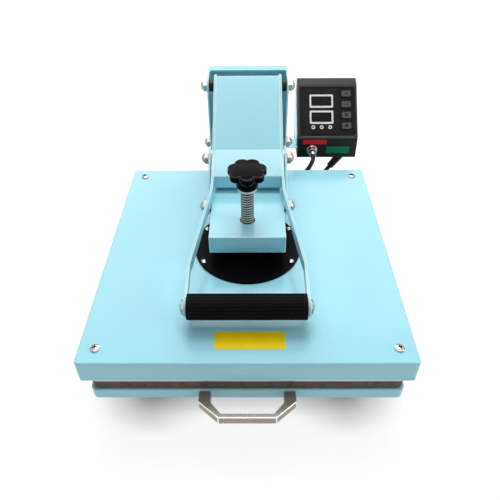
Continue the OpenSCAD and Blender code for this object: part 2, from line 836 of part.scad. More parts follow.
module disc() {
    color(black) translate([0, 0, top_z]) difference() {
        cylinder(d = disc_d, h = disc_t, $fn = 96);
        translate([0, 0, -1]) disc_corners() cylinder(d = cover_screw_d + 1, h = disc_t + 2);
    }
}
module disc_screws() {
    color(steel) translate([0, 0, disc_top]) disc_corners()
        pan_screw(disc_screw_head, cover_screw_d, disc_t + cover_t);
}

foot_play = 0.4;
screw_foot_h = 4;
module hub() {
    color(black) translate([0, 0, disc_top]) difference() {
        union() {
            cylinder(d = hub_d, h = hub_step);
            cylinder(d = hub_neck_d, h = hub_step + hub_neck);
        }
        translate([0, 0, 1.5]) cylinder(d = screw_foot_d + 2 * foot_play, h = screw_foot_h + 2 * foot_play);
        translate([0, 0, 1.5]) cylinder(d = screw_d + 4 * run_gap, h = hub_step + hub_neck);
    }
}

// Pressure screw and knob

collar_z = top_z + collar_up;
collar_h = 4;
knob_z = collar_z + collar_h;
module pressure_screw() {
    foot_z = disc_top + 1.5 + foot_play;
    color(steel) {
        translate([0, 0, foot_z]) cylinder(d = screw_d, h = knob_z + knob_hub_h + 6 - foot_z);
        translate([0, 0, foot_z]) cylinder(d = screw_foot_d, h = screw_foot_h);
        translate([0, 0, collar_z]) cylinder(d = screw_d + 8, h = collar_h);
    }
}
module knob() {
    star_z = knob_hub_h;
    lobe_at = (knob_d - knob_lobe_d) / 2;
    dome_r = (knob_dome * knob_dome + knob_d * knob_d / 4) / (2 * knob_dome);
    color(black) translate([0, 0, knob_z]) difference() {
        union() {
            cylinder(d1 = screw_d + 10, d2 = screw_d + 16, h = star_z);
            intersection() {
                translate([0, 0, star_z]) linear_extrude(knob_star_h) {
                    circle(lobe_at);
                    for (i = [0:knob_lobes - 1]) rotate(360 * (i + 0.25) / knob_lobes)
                        translate([lobe_at, 0]) circle(d = knob_lobe_d);
                }
                translate([0, 0, star_z + knob_star_h - dome_r]) sphere(dome_r);
            }
        }
        translate([0, 0, -eps]) cylinder(d = screw_d + 2 * run_gap, h = knob_hub_h + 6.5);
    }
}

// Control box

ctrl_z = top_z - ctrl_drop;
panel_foot = [ctrl_front, ctrl_z + ctrl_facet];
panel_dir = [cos(ctrl_tilt), sin(ctrl_tilt)];
panel_neck = panel_foot + ctrl_panel_len * panel_dir;
panel_head = panel_neck + ctrl_head * [cos(ctrl_head_tilt), sin(ctrl_head_tilt)];
ctrl_left = ctrl_x - ctrl_w / 2;
bevel = 4;
// Children lie on the panel: X across, Y up the slope from the facet, Z out of it
module on_panel() {
    translate([ctrl_x, panel_foot[0], panel_foot[1]]) rotate([ctrl_tilt, 0, 0]) translate([0, 0, -ctrl_sink])
        children();
}
module ctrl_outline() {
    polygon([
        [ctrl_front, ctrl_z], panel_foot, panel_neck, panel_head, panel_head + [bevel, bevel * 0.4],
        [ctrl_back, panel_head[1] + bevel * 0.4], [ctrl_back, ctrl_z]
    ]);
}
module panel_slab(grow, z0, z1) {
    translate([0, ctrl_panel_len / 2, z0]) linear_extrude(z1 - z0)
        round_rect(ctrl_w - 2 * ctrl_rim + 2 * grow, ctrl_panel_len - 2 * ctrl_rim + 2 * grow, 4);
}
button_x = 34;
button_first = 22.3;
stem_h = 5;
module button_hole() {
    linear_extrude(stem_h + 1) round_rect(button_w + 2 * button_gap, button_h + 2 * button_gap, 3);
}
module control_case() {
    color(black) difference() {
        side(ctrl_left, ctrl_left + ctrl_w) ctrl_outline();
        on_panel() {
            panel_slab(side_gap, -ctrl_panel_t, ctrl_sink + 1);
            for (i = [0:3])
                translate([button_x, button_first + i * button_step, -ctrl_panel_t - stem_h]) button_hole();
        }
    }
}
module control_panel() {
    color("#2a2a2c") on_panel() difference() {
        panel_slab(0, -ctrl_panel_t, 1);
        for (i = [0:3])
            translate([button_x, button_first + i * button_step, -ctrl_panel_t - 1]) button_hole();
        for (i = [0:1]) translate([display_x, display_y[i], 1 - display_t]) linear_extrude(2 * display_t)
            round_rect(display_w + 2 * run_gap, display_h + 2 * run_gap, 2);
        for (i = [-1:1]) translate([display_x + i * led_step, led_y, 1 - display_t])
            cylinder(d = led_d + 2 * run_gap, h = 2 * display_t);
    }
}
display_w = 43;
display_h = 24.5;
display_x = -10.7;
display_y = [68.3, 38.5];
display_t = 2;
led_d = 4;
led_step = 15.2;
led_y = 20;
module displays() {
    color("#121014") on_panel() for (i = [0:1]) translate([display_x, display_y[i], 1 - display_t])
        linear_extrude(display_t) round_rect(display_w, display_h, 2);
}
module indicators() {
    color("#e8e8e8") on_panel() for (i = [-1:1]) translate([display_x + i * led_step, led_y, 1 - display_t])
        cylinder(d = led_d, h = display_t + 0.6);
}
// A key cap; at rest its foot stands clear of the bottom of its well by the travel
module key(i) {
    sunk = ctrl_panel_t + stem_h - button_travel - 0.3;
    color("#77777a") on_panel() translate([button_x, button_first + i * button_step, -sunk])
        linear_extrude(sunk + 1 + button_proud) round_rect(button_w, button_h, 3);
}
module button_up() { key(3); }
module button_down() { key(2); }
module button_set() { key(1); }
module button_start() { key(0); }

bracket_screw_d = 5;
bracket_z = ctrl_z + ctrl_facet / 2;
module bracket_screw_places() {
    for (y = [-10, 10]) translate([mast_w / 2, mast_back - 18 + y, bracket_z - 12]) children();
}
module control_bracket() {
    color(paint) difference() {
        union() {
            translate([mast_w / 2, mast_back - 34, bracket_z - 22]) cube([bracket_t, 32, 22 + bracket_t]);
            translate([mast_w / 2, ctrl_front, bracket_z]) cube([ctrl_left - mast_w / 2, 30, bracket_t]);
            side(ctrl_left - bracket_t, ctrl_left) polygon([
                [ctrl_front + 6, bracket_z], [ctrl_front + 6, panel_foot[1] + 2],
                panel_head + [-6, -14], [ctrl_back - 8, panel_head[1] - 14], [ctrl_back - 8, bracket_z]
            ]);
        }
        bracket_screw_places() rotate([0, 90, 0]) translate([0, 0, -eps])
            cylinder(d = bracket_screw_d + 2 * run_gap, h = bracket_t + 2 * eps);
    }
}
module bracket_screws() {
    color(steel) bracket_screw_places() translate([bracket_t, 0, 0]) rotate([0, 90, 0])
        pan_screw(bracket_screw_d * 2, bracket_screw_d - 2 * run_gap, bracket_t + mast_t);
}

// Cords

connector_x = 115.5;
connector_z = 169;
connector_len = 24;
module connector() {
    color(steel) translate([connector_x, ctrl_front, connector_z]) rotate([90, 0, 0]) rotate_extrude()
        polygon([[0, 0], [9.5, 0], [9.5, 3], [8, 4], [8, 11], [6.8, 12], [6.8, 20],
            [cable_d / 2 + 1, connector_len], [0, connector_len]]);
}
cable_route = [
    [115.5, 226, 169], [115.5, 221.5, 169], [114.6, 216.4, 167.9], [112.7, 212, 164.7], [109.7, 208.8, 159.8],
    [106, 206.9, 154], [102, 206.5, 147.8], [98.4, 207.5, 140.6], [95.4, 209.9, 133], [92.6, 213.7, 126],
    [89.6, 218.7, 120], [86, 224.4, 115.4], [82, 230, 112.4], [77.8, 234.2, 110.6], [74.3, 236.6, 110],
    [71.5, 237, 110], [69, 237, 110]
];
module heater_cable() {
    color(black) tube(cable_route, cable_d, 10, [1, 1, 1]);
}
module cable_grommet() {
    neck_r = grommet_d / 2 - run_gap;
    color(black) translate([mast_in, grommet_at[0], grommet_at[1]]) rotate([0, 90, 0]) rotate_extrude()
        polygon([[0, -2], [8, -2], [8, -run_gap], [neck_r, -run_gap], [neck_r, mast_t + run_gap],
            [8, mast_t + run_gap], [8, mast_t + 2], [6, mast_t + 3], [0, mast_t + 3]]);
}

relief_from = [175, 268, 151];
relief_dir = [-20, 0, -30];
module lead_relief() {
    turn = atan2(relief_dir[0], relief_dir[2]);
    color(black) difference() {
        translate(relief_from) rotate([0, turn, 0]) translate([0, 0, -12])
            cylinder(d1 = 16, d2 = lead_d + 5, h = norm(relief_dir) + 12);
        translate([relief_from[0] - 40, relief_from[1] - 40, ctrl_z]) cube(80);
    }
}

// The stored length: one layer winds in, climbs, and the next winds out again
coil_at = [78, 350];
coil_z = 4.6;
coil_turns = 2 + 5 / 12;
coil_rise = coil_pitch;
coil_total = 2 * coil_turns + 0.5;
coil_rings = 24;
function coil_point(t) =
    let (turnback = coil_turns + 0.25, r = coil_r - coil_pitch * (turnback - abs(turnback - t)),
        climb = min(max((t - coil_turns) / 0.5, 0), 1))
    [coil_at[0] + r * cos(360 * t), coil_at[1] + r * sin(360 * t),
        coil_z + coil_rise * (1 - cos(180 * climb)) / 2];
coil_in = unit(coil_point(0.001) - coil_point(0));
coil_out = unit(coil_point(coil_total) - coil_point(coil_total - 0.001));
coil_start = coil_point(0) - lead_d * coil_in;
coil_end = coil_point(coil_total) + lead_d * coil_out;
lead_route = concat([
    [155, 268, 121], [151, 268, 115], [146.6, 268.5, 107.4], [142.2, 270.5, 97], [138.6, 274.3, 85.5],
    [135.8, 279.2, 73.5], [133.8, 285, 61.5], [132.4, 291.5, 49.5], [131.5, 298.5, 38], [130.9, 306, 27.6],
    [130.5, 314, 18.6], [130.3, 322.5, 11.6], [130.2, 331, 7]
], [coil_start - 5 * coil_in, coil_start]);
module lead() {
    color(black) tube(lead_route, lead_d, 10, [1, 0, 0]);
}
coil_steps = round(coil_total * coil_rings);
coil_route = concat([coil_start], [for (i = [0:coil_steps]) coil_point(i / coil_rings)], [coil_end]);
coil_gap = min([for (i = [0:len(coil_route) - 1], j = [i + 14:1:len(coil_route) - 1])
    norm(coil_route[i] - coil_route[j])]) - lead_d;
echo(coil_gap = coil_gap, coil_length = length_of(coil_route), lead_length = length_of(lead_route),
    tail_length = length_of(tail_route), cable_length = length_of(cable_route));
module lead_coil() {
    color(black) tube(coil_route, lead_d, 6, [0, 0, 1]);
}
tail_route = concat([coil_end, coil_end + 5 * coil_out], [
    [33, 384.7, 14.3], [25, 380.4, 15.7], [17, 376, 17.3], [9.5, 371.9, 18.6], [3, 368.4, 19], [-2, 365.7, 19]
]);
module lead_tail() {
    color(black) tube(tail_route, lead_d, 10, [0, 0, 1]);
}
module plug() {
    from = tail_route[len(tail_route) - 1];
    turn = atan2(along(tail_route, len(tail_route) - 1)[1], along(tail_route, len(tail_route) - 1)[0]);
    color(black) translate([from[0], from[1], plug_d / 2]) rotate([0, 90, turn]) {
        rotate_extrude() polygon([[0, 0], [6, 0], [7, 8], [plug_d / 2 - 2, 18], [plug_d / 2, 21],
            [plug_d / 2, plug_len], [0, plug_len]]);
        for (y = [-9.5, 9.5]) translate([0, y, plug_len - eps]) cylinder(d = 4.8, h = 19);
    }
}

module place() {
    translate([0, place_y, 0]) children();
}

place() base_rail_left();
place() base_rail_right();
place() base_cross_front();
place() base_cross_rear();
place() feet();
place() mast();
place() mast_bolts();
place() mast_pins();
place() mast_nuts();
place() mast_spacers();
place() rails_outer();
place() rails_middle();
place() rails_inner();
place() tray_shell();
place() tray_base();
place() tray_brackets();
place() pad();
place() pull_handle();
place() pull_screws();
place() arm_channel();
place() arm_box();
place() pressure_nut();
place() low_pin();
place() low_pin_nuts();
place() links();
place() knee_pin();
place() knee_nuts();
place() handle_sides();
place() handle_hood();
place() grip();
place() grip_rod();
place() grip_nuts();
place() cover();
place() cover_screws();
place() standoffs();
place() insulation();
place() heat_plate();
place() disc();
place() disc_screws();
place() hub();
place() pressure_screw();
place() knob();
place() control_bracket();
place() bracket_screws();
place() control_case();
place() control_panel();
place() displays();
place() indicators();
place() button_up();
place() button_down();
place() button_set();
place() button_start();
place() connector();
place() cable_grommet();
place() heater_cable();
place() lead_relief();
place() lead();
place() lead_coil();
place() lead_tail();
place() plug();
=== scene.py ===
import math

import bmesh
import bpy
from mathutils import Matrix, Vector


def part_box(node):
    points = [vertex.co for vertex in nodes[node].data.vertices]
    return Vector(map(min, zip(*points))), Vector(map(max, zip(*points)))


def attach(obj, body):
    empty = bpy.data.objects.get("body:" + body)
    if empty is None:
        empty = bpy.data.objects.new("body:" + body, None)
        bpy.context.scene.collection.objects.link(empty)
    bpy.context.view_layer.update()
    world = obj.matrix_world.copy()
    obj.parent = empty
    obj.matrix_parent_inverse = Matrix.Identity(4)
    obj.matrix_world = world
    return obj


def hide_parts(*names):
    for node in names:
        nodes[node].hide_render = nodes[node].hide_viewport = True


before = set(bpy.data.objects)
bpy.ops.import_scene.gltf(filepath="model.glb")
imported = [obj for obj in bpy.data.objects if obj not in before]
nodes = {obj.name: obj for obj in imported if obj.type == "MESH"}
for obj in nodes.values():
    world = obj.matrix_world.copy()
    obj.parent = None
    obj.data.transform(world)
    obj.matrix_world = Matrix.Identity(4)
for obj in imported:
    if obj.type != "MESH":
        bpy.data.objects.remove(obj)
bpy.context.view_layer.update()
scene = bpy.context.scene

# The pressure screw's axis stands this far ahead of the origin
SHIFT = -0.054


def at(x, y, z):
    """A point given in millimetres from the pressure screw's axis and the table, in metres in the frame."""
    return Vector((x / 1000, y / 1000 + SHIFT, z / 1000))


# Camera

CAMERA_AT = (6.6, -541.9, 647.9)
CAMERA_PITCH = math.radians(38.57)
CAMERA_YAW = math.radians(0.55)
CAMERA_ROLL = math.radians(-0.5)

cam_data = bpy.data.cameras.new("camera")
cam_data.sensor_width = 36
cam_data.lens = 36.13
cam_data.shift_x = 0.003
cam_data.shift_y = -0.071
cam_data.clip_end = 50
camera = bpy.data.objects.new("camera", cam_data)
scene.collection.objects.link(camera)
scene.camera = camera
turn = Matrix.Rotation(CAMERA_YAW, 4, "Z") @ Matrix.Rotation(math.pi / 2 - CAMERA_PITCH, 4, "X")
camera.matrix_world = Matrix.Translation(at(*CAMERA_AT)) @ turn @ Matrix.Rotation(CAMERA_ROLL, 4, "Z")


# Material helpers

COAT_ROUGHNESS = 0.08


def material(name, color, rough, metal=0.0, coat=0.0, sheen=0.5):
    m = bpy.data.materials.new(name)
    m.use_nodes = True
    b = m.node_tree.nodes["Principled BSDF"]
    b.inputs["Base Color"].default_value = (*color, 1)
    b.inputs["Roughness"].default_value = rough
    b.inputs["Metallic"].default_value = metal
    b.inputs["Specular IOR Level"].default_value = sheen
    b.inputs["Coat Weight"].default_value = coat
    b.inputs["Coat Roughness"].default_value = COAT_ROUGHNESS
    return m


def coords(m, scale):
    """Object coordinates, stretched by scale."""
    t = m.node_tree
    c = t.nodes.new("ShaderNodeTexCoord")
    p = t.nodes.new("ShaderNodeMapping")
    p.inputs["Scale"].default_value = scale
    t.links.new(c.outputs["Object"], p.inputs["Vector"])
    return p.outputs["Vector"]


def noise(m, vector, scale, detail, rough=0.5):
    n = m.node_tree.nodes.new("ShaderNodeTexNoise")
    n.inputs["Scale"].default_value = scale
    n.inputs["Detail"].default_value = detail
    n.inputs["Roughness"].default_value = rough
    m.node_tree.links.new(vector, n.inputs["Vector"])
    return n.outputs["Fac"]


def ramp(m, fac, low, high):
    """A colour ramp between two stops, each (position, colour)."""
    r = m.node_tree.nodes.new("ShaderNodeValToRGB")
    for stop, (pos, col) in zip(r.color_ramp.elements, (low, high)):
        stop.position = pos
        stop.color = (*col, 1)
    m.node_tree.links.new(fac, r.inputs["Fac"])
    return r.outputs["Color"]


def span(m, fac, low, high):
    r = m.node_tree.nodes.new("ShaderNodeMapRange")
    r.inputs["To Min"].default_value = low
    r.inputs["To Max"].default_value = high
    m.node_tree.links.new(fac, r.inputs["Value"])
    return r.outputs["Result"]


def to(m, socket, name):
    m.node_tree.links.new(socket, m.node_tree.nodes["Principled BSDF"].inputs[name])


def bump(m, height, strength, distance):
    b = m.node_tree.nodes.new("ShaderNodeBump")
    b.inputs["Strength"].default_value = strength
    b.inputs["Distance"].default_value = distance
    m.node_tree.links.new(height, b.inputs["Height"])
    to(m, b.outputs["Normal"], "Normal")


def vary(m, color, amount, vector, scale):
    """Colour that drifts a little lighter and darker over the surface."""
    dark = [c * (1 - amount) for c in color]
    light = [min(1, c * (1 + amount)) for c in color]
    to(m, ramp(m, noise(m, vector, scale, 5), (0.3, dark), (0.7, light)), "Base Color")


def surface(name, color, drift, gloss=None, grain=None, rough=None, metal=0.0, coat=0.0, sheen=0.5,
            stretch=(1, 1, 1), grain_stretch=None):
    """A finish whose colour, roughness and relief vary over the surface.

    drift is (amount, noise scale), gloss is (noise scale, detail, smoothest, roughest), and grain is
    (noise scale, detail, strength, depth), with the noise's own roughness last where it isn't plain.
    """
    m = material(name, color, rough if gloss is None else sum(gloss[2:]) / 2, metal, coat, sheen)
    v = coords(m, stretch)
    vary(m, color, drift[0], v, drift[1])
    if gloss:
        scale, detail, low, high = gloss
        to(m, span(m, noise(m, v, scale, detail), low, high), "Roughness")
    if grain:
        scale, detail, strength, depth, *own = grain
        w = coords(m, grain_stretch) if grain_stretch else v
        bump(m, noise(m, w, scale, detail, *own), strength, depth)
    return m


def plate_finish(name, color):
    return surface(name, color, (0.04, 60), (200, 3, 0.3, 0.46), (1400, 2, 0.05, 0.0002), sheen=0.2)


# Aqua powder coat with fine orange peel, and a much paler copy of it on the eased edges: painted highlight
# lines along the edges
paint = surface("aqua_powder_coat", (0.365, 0.775, 0.88), (0.025, 7), (26, 5, 0.12, 0.15),
                (950, 2, 0.05, 0.0004), sheen=0.36)
paint_highlight_edge = surface("aqua_painted_highlight_edges", (0.78, 0.95, 0.98), (0.05, 60), (90, 4, 0.14, 0.3))

# Satin moulded plastic with a fine spark-eroded grain, and a smoother, paler copy of it on its eased edges:
# painted highlight lines along the edges
satin = surface("satin_black_plastic", (0.006, 0.006, 0.0065), (0.25, 40), (120, 4, 0.34, 0.5),
                (2600, 3, 0.16, 0.0003), sheen=0.26)
satin_highlight_edge = surface("satin_black_painted_highlight_edges", (0.03, 0.029, 0.029), (0.25, 90), (120, 4, 0.22, 0.4), sheen=0.6)

# Polished moulded plastic of the knob, and a glossier, slightly paler copy of it on its rims: painted
# highlight along the rims
phenolic = surface("polished_black_knob", (0.003, 0.0028, 0.003), (0.3, 60), (45, 4, 0.1, 0.22),
                   (700, 2, 0.03, 0.0003), sheen=0.02)
knob_highlight_rim = surface("knob_rims_painted_highlight", (0.006, 0.0057, 0.006), (0.3, 90), (70, 4, 0.08, 0.2),
                        sheen=0.35)

# Black paint on the swivel disc, also used for printed marks, and as painted shade in the cross recesses of
# the cover's screws
black_paint_and_shade = surface("black_enamel_and_painted_shade", (0.002, 0.002, 0.0025), (0.3, 30), (60, 4, 0.26, 0.44),
                      (1100, 2, 0.06, 0.0003), sheen=0.03)

# Foam rubber of the grip
grip_rubber = surface("grip_rubber", (0.003, 0.0028, 0.0033), (0.35, 90), (180, 5, 0.45, 0.65),
                      (1900, 4, 0.25, 0.0004), sheen=0.06)

# Cord sheath and feet
rubber = surface("cord_rubber", (0.009, 0.009, 0.01), (0.3, 70), (150, 5, 0.42, 0.62),
                 (1500, 3, 0.12, 0.0003), sheen=0.25)

# Silicone sponge pad: brown-grey with open pores
silicone = surface("silicone_sponge", (0.09, 0.066, 0.055), (0.3, 120), (300, 5, 0.7, 0.92),
                   (900, 6, 0.5, 0.0006, 0.7))

# Bright plate on nuts and screws
plated = surface("bright_plate", (0.4, 0.375, 0.35), (0.1, 160), (240, 5, 0.08, 0.2),
                 (800, 3, 0.05, 0.0002), metal=1)

# Turned steel of the pressure screw, and a dark copy of that steel on the flanks and roots of its thread and
# on its nut: painted shade in the thread's grooves and in the hole round the screw
turned = surface("turned_steel", (0.85, 0.76, 0.7), (0.12, 130), (320, 5, 0.2, 0.42),
                 (260, 3, 0.1, 0.0002), metal=0.6, grain_stretch=(1, 1, 12))
painted_shade_steel = surface("steel_painted_shade", (0.03, 0.026, 0.022), (0.3, 220), (320, 5, 0.35, 0.6),
                (900, 3, 0.1, 0.0002), metal=0.2)

# Zinc-coated sheet of rails and hidden steel
zinc = surface("zinc_sheet", (0.5, 0.51, 0.52), (0.14, 22), (60, 6, 0.28, 0.5),
               (60, 3, 0.06, 0.0002), metal=1, grain_stretch=(30, 1, 30))

# Ground aluminium of the heating plate
ground = surface("ground_aluminium", (0.62, 0.63, 0.64), (0.1, 30), (80, 5, 0.3, 0.5),
                 (120, 3, 0.12, 0.0002), metal=1, stretch=(1, 40, 1))

# Brushed nickel of the pull handle, grain along X, and a much paler copy on its eased edges: painted
# highlight lines along the edges
nickel = surface("brushed_nickel", (0.34, 0.3, 0.26), (0.2, 26), (60, 5, 0.34, 0.54),
                 (70, 4, 0.16, 0.0002), metal=0.75, stretch=(1, 60, 60))
nickel_highlight_edge = surface("nickel_painted_highlight_edges", (0.8, 0.77, 0.73), (0.1, 120), (180, 4, 0.15, 0.3), metal=1)

# Mineral wool
wool = surface("mineral_wool", (0.6, 0.55, 0.42), (0.25, 200), grain=(700, 6, 0.8, 0.001, 0.75), rough=0.95)

# Panel film, print, windows, lamps and keys
film = surface("panel_film", (0.009, 0.0085, 0.0085), (0.2, 60), (200, 3, 0.38, 0.54),
               (3200, 2, 0.1, 0.0002), sheen=0.1)
inset = surface("panel_inset", (0.013, 0.0125, 0.0125), (0.15, 50), (180, 3, 0.3, 0.44), sheen=0.1)
glass = surface("display_window", (0.012, 0.008, 0.008), (0.35, 90), (35, 3, 0.08, 0.2), sheen=0.12)
white = surface("white_print", (0.82, 0.82, 0.8), (0.06, 200), (300, 3, 0.36, 0.54))
lens = surface("lamp_lens", (0.09, 0.08, 0.078), (0.1, 400), (300, 2, 0.12, 0.26), coat=0.5)
key_grey = surface("grey_key", (0.07, 0.064, 0.058), (0.12, 150), (220, 3, 0.42, 0.6),
                   (2400, 2, 0.12, 0.0002), sheen=0.35)

# Bare plates
yellow = plate_finish("yellow_plate", (0.98, 0.7, 0.0))
red = plate_finish("red_plate", (0.8, 0.008, 0.014))
green = plate_finish("green_plate", (0.0, 0.2, 0.08))

KEYS = ["button_up", "button_down", "button_set", "button_start"]
coatings = {
    paint: ["base_rail_left", "base_rail_right", "base_cross_front", "base_cross_rear", "mast", "tray_shell",
            "arm_channel", "arm_box", "links", "handle_sides", "handle_hood", "cover", "control_bracket"],
    plated: ["mast_bolts", "mast_pins", "mast_nuts", "pull_screws", "low_pin", "low_pin_nuts", "knee_pin",
             "knee_nuts", "grip_rod", "grip_nuts", "cover_screws", "disc_screws", "bracket_screws",
             "connector"],
    turned: ["pressure_screw"],
    # The nut in the dark copy of the steel: painted shade in the hole round the screw
    painted_shade_steel: ["pressure_nut"],
    zinc: ["rails_outer", "rails_middle", "rails_inner", "tray_base", "tray_brackets", "standoffs"],
    satin: ["mast_spacers", "control_case", "plug"],
    phenolic: ["knob"],
    black_paint_and_shade: ["disc", "hub"],
    grip_rubber: ["grip"],
    rubber: ["feet", "cable_grommet", "heater_cable", "lead_relief", "lead", "lead_coil", "lead_tail"],
    silicone: ["pad"],
    nickel: ["pull_handle"],
    wool: ["insulation"],
    ground: ["heat_plate"],
    film: ["control_panel"],
    glass: ["displays"],
    lens: ["indicators"],
    key_grey: KEYS,
}
for m, names in coatings.items():
    for n in names:
        nodes[n].data.materials.clear()
        nodes[n].data.materials.append(m)


# Cords

LEAD_D = 0.0075
CABLE_D = 0.0075
CURVE_STEPS = 4
COIL_X, COIL_Y, COIL_Z = 78, 350, 4.6
COIL_TURNS, COIL_CLIMB, COIL_R, COIL_STEP = 2 + 5 / 12, 0.5, 52, 8.2
COIL_RINGS = 48
# A straight stretch joins the coil to the rest of the lead at each end
COIL_LEAD_IN = 0.005


def smooth_line(points):
    """A Catmull-Rom curve through the points."""
    pts = [points[0] + (points[0] - points[1])] + list(points) + [points[-1] + (points[-1] - points[-2])]
    out = []
    for i in range(1, len(pts) - 2):
        p0, p1, p2, p3 = pts[i - 1:i + 3]
        for k in range(CURVE_STEPS):
            t = k / CURVE_STEPS
            out.append(0.5 * (2 * p1 + (p2 - p0) * t + (2 * p0 - 5 * p1 + 4 * p2 - p3) * t ** 2
                              + (3 * p1 - p0 - 3 * p2 + p3) * t ** 3))
    out.append(points[-1].copy())
    return out


def tube_curve(name, points, diameter, mat, body):
    c = bpy.data.curves.new(name, "CURVE")
    c.dimensions = "3D"
    c.bevel_depth = diameter / 2
    c.bevel_resolution = 4
    c.use_fill_caps = True
    s = c.splines.new("POLY")
    s.points.add(len(points) - 1)
    for p, q in zip(s.points, points):
        p.co = (*q, 1)
    o = bpy.data.objects.new(name, c)
    scene.collection.objects.link(o)
    c.materials.append(mat)
    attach(o, body)
    return o


def coil_point(t):
    """The lead's middle after t turns: inwards on the table, up a step, then outwards on top."""
    back = COIL_TURNS + COIL_CLIMB / 2
    r = COIL_R - COIL_STEP * (back - abs(back - t))
    climb = min(max((t - COIL_TURNS) / COIL_CLIMB, 0), 1)
    return at(COIL_X + r * math.cos(2 * math.pi * t), COIL_Y + r * math.sin(2 * math.pi * t),
              COIL_Z + COIL_STEP * (1 - math.cos(math.pi * climb)) / 2)


coil_total = 2 * COIL_TURNS + COIL_CLIMB
coil_rings = round(coil_total * COIL_RINGS)
coil_route = [coil_point(coil_total * i / coil_rings) for i in range(coil_rings + 1)]
coil_in = (coil_point(0.001) - coil_point(0)).normalized()
coil_out = (coil_point(coil_total) - coil_point(coil_total - 0.001)).normalized()
coil_start = coil_point(0) - LEAD_D * coil_in
coil_end = coil_point(coil_total) + LEAD_D * coil_out
lead_route = [at(*p) for p in [
    (155, 268, 121), (151, 268, 115), (146.6, 268.5, 107.4), (142.2, 270.5, 97), (138.6, 274.3, 85.5),
    (135.8, 279.2, 73.5), (133.8, 285, 61.5), (132.4, 291.5, 49.5), (131.5, 298.5, 38), (130.9, 306, 27.6),
    (130.5, 314, 18.6), (130.3, 322.5, 11.6), (130.2, 331, 7)]]
lead_route += [coil_start - COIL_LEAD_IN * coil_in, coil_start]
tail_route = [coil_end, coil_end + COIL_LEAD_IN * coil_out] + [at(*p) for p in [
    (33, 384.7, 14.3), (25, 380.4, 15.7), (17, 376, 17.3), (9.5, 371.9, 18.6), (3, 368.4, 19),
    (-2, 365.7, 19)]]
lead_points = smooth_line(lead_route) + coil_route + smooth_line(tail_route)
lead = tube_curve("mains_lead", lead_points, LEAD_D, rubber, "base")
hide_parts("lead", "lead_coil", "lead_tail")

cable_points = smooth_line([at(*p) for p in [
    (115.5, 226, 169), (115.5, 221.5, 169), (114.6, 216.4, 167.9), (112.7, 212, 164.7), (109.7, 208.8, 159.8),
    (106, 206.9, 154), (102, 206.5, 147.8), (98.4, 207.5, 140.6), (95.4, 209.9, 133), (92.6, 213.7, 126),
    (89.6, 218.7, 120), (86, 224.4, 115.4), (82, 230, 112.4), (77.8, 234.2, 110.6), (74.3, 236.6, 110),
    (71.5, 237, 110), (69, 237, 110)]])
cable = tube_curve("heater_lead", cable_points, CABLE_D, rubber, "base")
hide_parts("heater_cable")


# Piece helpers

def shade(me, crease):
    """Smooth shading, but for folds over crease degrees."""
    for p in me.polygons:
        p.use_smooth = True
    me.set_sharp_from_angle(angle=math.radians(crease))


def mesh_piece(name, bm, mat, body, crease=30):
    me = bpy.data.meshes.new(name)
    bmesh.ops.recalc_face_normals(bm, faces=bm.faces)
    bm.to_mesh(me)
    bm.free()
    me.materials.append(mat)
    o = bpy.data.objects.new(name, me)
    scene.collection.objects.link(o)
    shade(me, crease)
    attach(o, body)
    return o


def rounded_outline(w, d, r, n=6):
    pts = []
    for cx, cy, a0 in ((w / 2 - r, d / 2 - r, 0), (-w / 2 + r, d / 2 - r, 90),
                       (-w / 2 + r, -d / 2 + r, 180), (w / 2 - r, -d / 2 + r, 270)):
        for k in range(n + 1):
            a = math.radians(a0 + 90 * k / n)
            pts.append((cx + r * math.cos(a), cy + r * math.sin(a)))
    return pts


def slab(bm, outline, z0, z1, edge, m):
    """A flat piece with a chamfered top edge, placed by the matrix m."""
    n = len(outline)
    cx = sum(p[0] for p in outline) / n
    cy = sum(p[1] for p in outline) / n
    w = max(p[0] for p in outline) - min(p[0] for p in outline)
    d = max(p[1] for p in outline) - min(p[1] for p in outline)
    kx, ky = 1 - 2 * edge / w, 1 - 2 * edge / d
    rings = []
    for z, fx, fy in ((z0, 1, 1), (z1 - edge, 1, 1), (z1, kx, ky)):
        rings.append([bm.verts.new(m @ Vector((cx + (x - cx) * fx, cy + (y - cy) * fy, z)))
                      for x, y in outline])
    for a, b in zip(rings, rings[1:]):
        for i in range(n):
            bm.faces.new((a[i], a[(i + 1) % n], b[(i + 1) % n], b[i]))
    bm.faces.new(rings[-1])
    bm.faces.new(list(reversed(rings[0])))


def frame_ring(bm, outer, inner, z0, z1, m):
    """A flat ring between two outlines with the same number of points."""
    n = len(outer)
    r = [[bm.verts.new(m @ Vector((x, y, z))) for x, y in o] for o, z in
         ((outer, z0), (outer, z1), (inner, z1), (inner, z0))]
    for a, b in ((0, 1), (1, 2), (2, 3), (3, 0)):
        for i in range(n):
            bm.faces.new((r[a][i], r[a][(i + 1) % n], r[b][(i + 1) % n], r[b][i]))


# Pressure screw with a cut thread: steel in material slot 0, and in slot 1 a dark copy of the steel, painted
# shade between the threads

STEEL, SHADE_SLOT = 0, 1
THREAD_R, ROOT_R, CORE_R, THREAD_PITCH = 0.009, 0.0075, 0.0077, 0.004


def thread_bar(bm, m, r_out, r_in, z0, z1, pitch, seg=40):
    """A closed helical tooth from z0 to z1, to be laid round a core thicker than r_in."""
    prof = [(0.16, r_in), (0.32, r_out), (0.68, r_out), (0.84, r_in)]
    k = len(prof)
    rows = []
    for i in range(int(((z1 - z0) / pitch - prof[-1][0]) * seg) + 1):
        a = 2 * math.pi * i / seg
        rows.append([bm.verts.new(m @ Vector((r * math.cos(a), r * math.sin(a), z0 + pitch * (i / seg + f))))
                     for f, r in prof])
    for a, b in zip(rows, rows[1:]):
        for j in range(k):
            # Only the crest is bare steel; the flanks and roots take the dark copy, painted shade
            crest = j == 1
            side = bm.faces.new((a[j], b[j], b[(j + 1) % k], a[(j + 1) % k]))
            side.material_index = STEEL if crest else SHADE_SLOT
    bm.faces.new(rows[0])
    bm.faces.new(list(reversed(rows[-1])))


